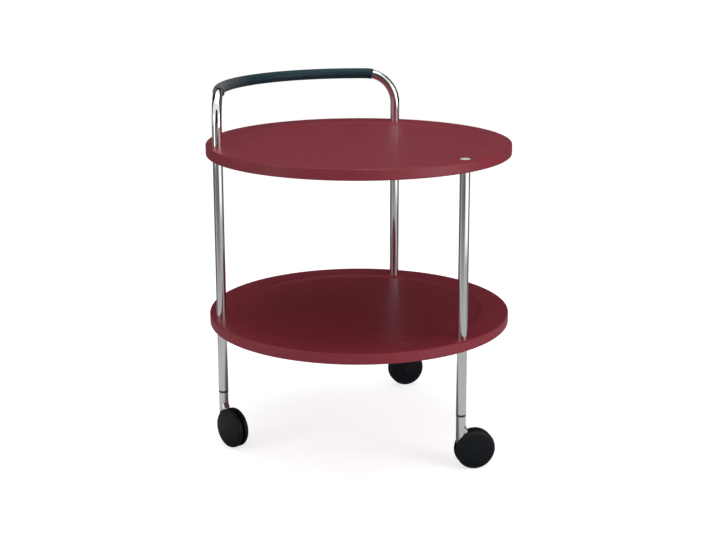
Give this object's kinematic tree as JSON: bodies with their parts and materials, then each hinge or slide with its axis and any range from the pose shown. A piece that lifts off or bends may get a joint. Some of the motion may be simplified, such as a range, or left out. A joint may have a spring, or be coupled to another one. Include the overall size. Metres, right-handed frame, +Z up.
{
  "type": "serving trolley",
  "caption": "Round serving trolley: lacquered trays one above the other on chromed tube legs, a curved sleeved handle above the top tray, and swivelling twin-wheel casters.",
  "frame": {"origin": "on the floor, on the common axis of the two trays", "axes": "+Z up; seen from above, the front leg stands at 45 degrees from +X towards -Y, and the handle spans the left leg (195 degrees) and the back leg (75 degrees), facing 135 degrees"},
  "size_m": [0.4999, 0.5025, 0.5961],
  "materials": {
    "lacquer": "satin lacquer",
    "chrome": "polished",
    "leather": "fine grain",
    "zinc_steel": "zinc plated",
    "socket_plastic": "matte",
    "wheel_core": "matte",
    "tread": "matte",
    "wheel_cover": "satin"
  },
  "bodies": {
    "frame": {"upper_tray": "lacquer", "lower_tray": "lacquer", "handle_tube": "chrome", "handle_sleeve": "leather", "upper_leg_front": "chrome", "upper_leg_left": "chrome", "upper_leg_back": "chrome", "lower_leg_front": "chrome", "lower_leg_left": "chrome", "lower_leg_back": "chrome", "handle_inserts": "zinc_steel", "upper_leg_inserts": "zinc_steel", "lower_leg_inserts": "zinc_steel", "upper_studs": "zinc_steel", "lower_studs": "zinc_steel", "front_cap_bolt": "chrome", "socket_front": "socket_plastic", "socket_left": "socket_plastic", "socket_back": "socket_plastic"},
    "caster_front": {"neck_front": "chrome", "stem_front": "zinc_steel", "axle_front": "zinc_steel", "axle_clips_front": "zinc_steel"},
    "wheel_front_a": {"core_front_a": "wheel_core", "tyre_front_a": "tread", "cover_front_a": "wheel_cover"},
    "wheel_front_b": {"core_front_b": "wheel_core", "tyre_front_b": "tread", "cover_front_b": "wheel_cover"},
    "caster_left": {"neck_left": "chrome", "stem_left": "zinc_steel", "axle_left": "zinc_steel", "axle_clips_left": "zinc_steel"},
    "wheel_left_a": {"core_left_a": "wheel_core", "tyre_left_a": "tread", "cover_left_a": "wheel_cover"},
    "wheel_left_b": {"core_left_b": "wheel_core", "tyre_left_b": "tread", "cover_left_b": "wheel_cover"},
    "caster_back": {"neck_back": "chrome", "stem_back": "zinc_steel", "axle_back": "zinc_steel", "axle_clips_back": "zinc_steel"},
    "wheel_back_a": {"core_back_a": "wheel_core", "tyre_back_a": "tread", "cover_back_a": "wheel_cover"},
    "wheel_back_b": {"core_back_b": "wheel_core", "tyre_back_b": "tread", "cover_back_b": "wheel_cover"}
  },
  "joints": [
    {"name": "swivel_front", "type": "hinge", "parent": "frame", "child": "caster_front", "pos_m": [0.16476, -0.16476, 0.0895], "axis": [0, 0, 1], "continuous": true},
    {"name": "spin_front_a", "type": "hinge", "parent": "caster_front", "child": "wheel_front_a", "pos_m": [0.18746, -0.15867, 0.0325], "axis": [-0.2588, 0.9659, 0], "continuous": true},
    {"name": "spin_front_b", "type": "hinge", "parent": "caster_front", "child": "wheel_front_b", "pos_m": [0.18746, -0.15867, 0.0325], "axis": [-0.2588, 0.9659, 0], "continuous": true},
    {"name": "swivel_left", "type": "hinge", "parent": "frame", "child": "caster_left", "pos_m": [-0.22506, -0.0603, 0.0895], "axis": [0, 0, 1], "continuous": true},
    {"name": "spin_left_a", "type": "hinge", "parent": "caster_left", "child": "wheel_left_a", "pos_m": [-0.20934, -0.07777, 0.0325], "axis": [0.7431, 0.6691, 0], "continuous": true},
    {"name": "spin_left_b", "type": "hinge", "parent": "caster_left", "child": "wheel_left_b", "pos_m": [-0.20934, -0.07777, 0.0325], "axis": [0.7431, 0.6691, 0], "continuous": true},
    {"name": "swivel_back", "type": "hinge", "parent": "frame", "child": "caster_back", "pos_m": [0.0603, 0.22506, 0.0895], "axis": [0, 0, 1], "continuous": true},
    {"name": "spin_back_a", "type": "hinge", "parent": "caster_back", "child": "wheel_back_a", "pos_m": [0.08253, 0.23271, 0.0325], "axis": [-0.3256, 0.9455, 0], "continuous": true},
    {"name": "spin_back_b", "type": "hinge", "parent": "caster_back", "child": "wheel_back_b", "pos_m": [0.08253, 0.23271, 0.0325], "axis": [-0.3256, 0.9455, 0], "continuous": true}
  ]
}
